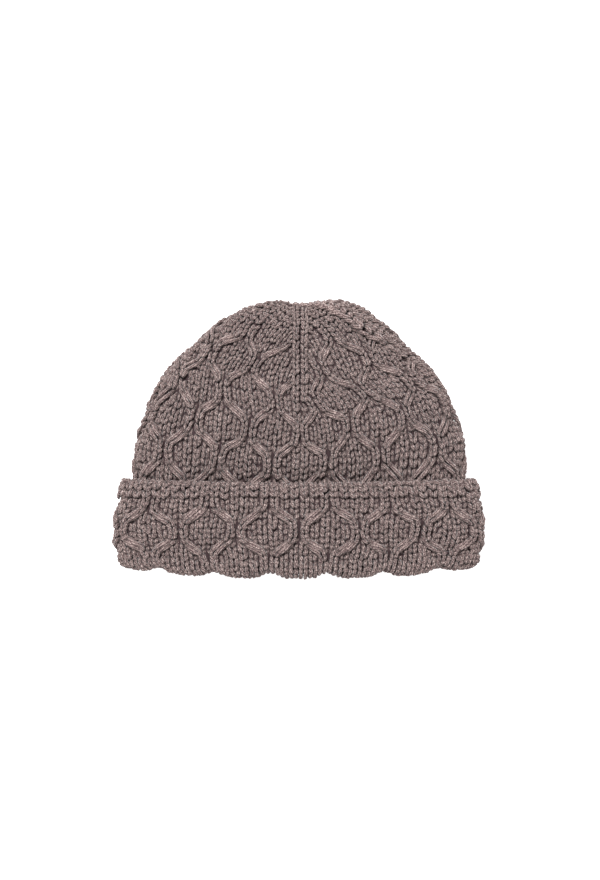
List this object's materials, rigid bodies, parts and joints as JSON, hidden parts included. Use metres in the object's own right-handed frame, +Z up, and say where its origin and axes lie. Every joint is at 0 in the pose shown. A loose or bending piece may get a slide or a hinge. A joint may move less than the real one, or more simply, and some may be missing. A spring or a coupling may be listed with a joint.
{
  "type": "cable-knit hat with a turned-up cuff",
  "caption": "Soft knitted hat lying flat: hollow crown with honeycomb cables drawn in to a pole, and a cabled turned-up cuff folded at the open mouth.",
  "frame": {"origin": "on the resting surface, under the middle of the hat's outline", "axes": "+Z up from the resting surface and out of the hat's front, +Y from the mouth to the crown's top, +X to the right as the front is looked at"},
  "size_m": [0.2253, 0.1698, 0.045],
  "materials": {
    "knit_yarn": "soft heathered cashmere yarn, hand-knit look",
    "cuff_yarn": "soft heathered cashmere yarn, hand-knit look"
  },
  "bodies": {
    "root": {"crown": "knit_yarn", "cuff": "cuff_yarn"}
  },
  "joints": []
}
